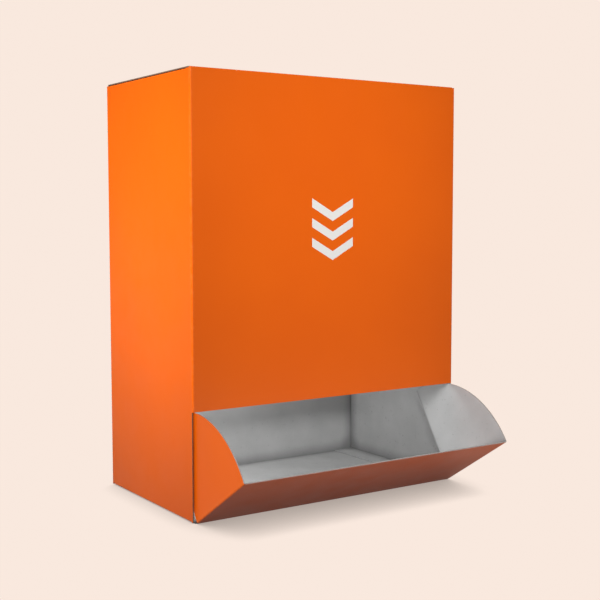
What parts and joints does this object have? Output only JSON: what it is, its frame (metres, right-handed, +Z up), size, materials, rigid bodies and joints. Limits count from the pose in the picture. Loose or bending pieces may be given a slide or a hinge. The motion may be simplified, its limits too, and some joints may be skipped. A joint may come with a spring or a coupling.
{
  "type": "dispenser box",
  "caption": "Tall gravity-feed dispenser box folded from printed board, with a tuck-in lid and a tilt-out tray flap at its open mouth.",
  "frame": {"origin": "centre of the carton's base, on the ground", "axes": "+Z up, the open mouth faces -Y, +X to the right seen from the back"},
  "size_m": [0.18, 0.154, 0.24],
  "materials": {
    "printed_board": "satin"
  },
  "bodies": {
    "carton": {"carton": "printed_board"},
    "lid": {"lid": "printed_board"},
    "tray": {"tray_flap": "printed_board"}
  },
  "joints": [
    {"name": "lid_fold", "type": "hinge", "parent": "carton", "child": "lid", "pos_m": [0, 0.0517, 0.2397], "axis": [-1, 0, 0], "range_deg": [0, 135]},
    {"name": "tray_fold", "type": "hinge", "parent": "carton", "child": "tray", "pos_m": [0, -0.0517, 0.0003], "axis": [1, 0, 0], "range_deg": [-57.5, 31]}
  ]
}
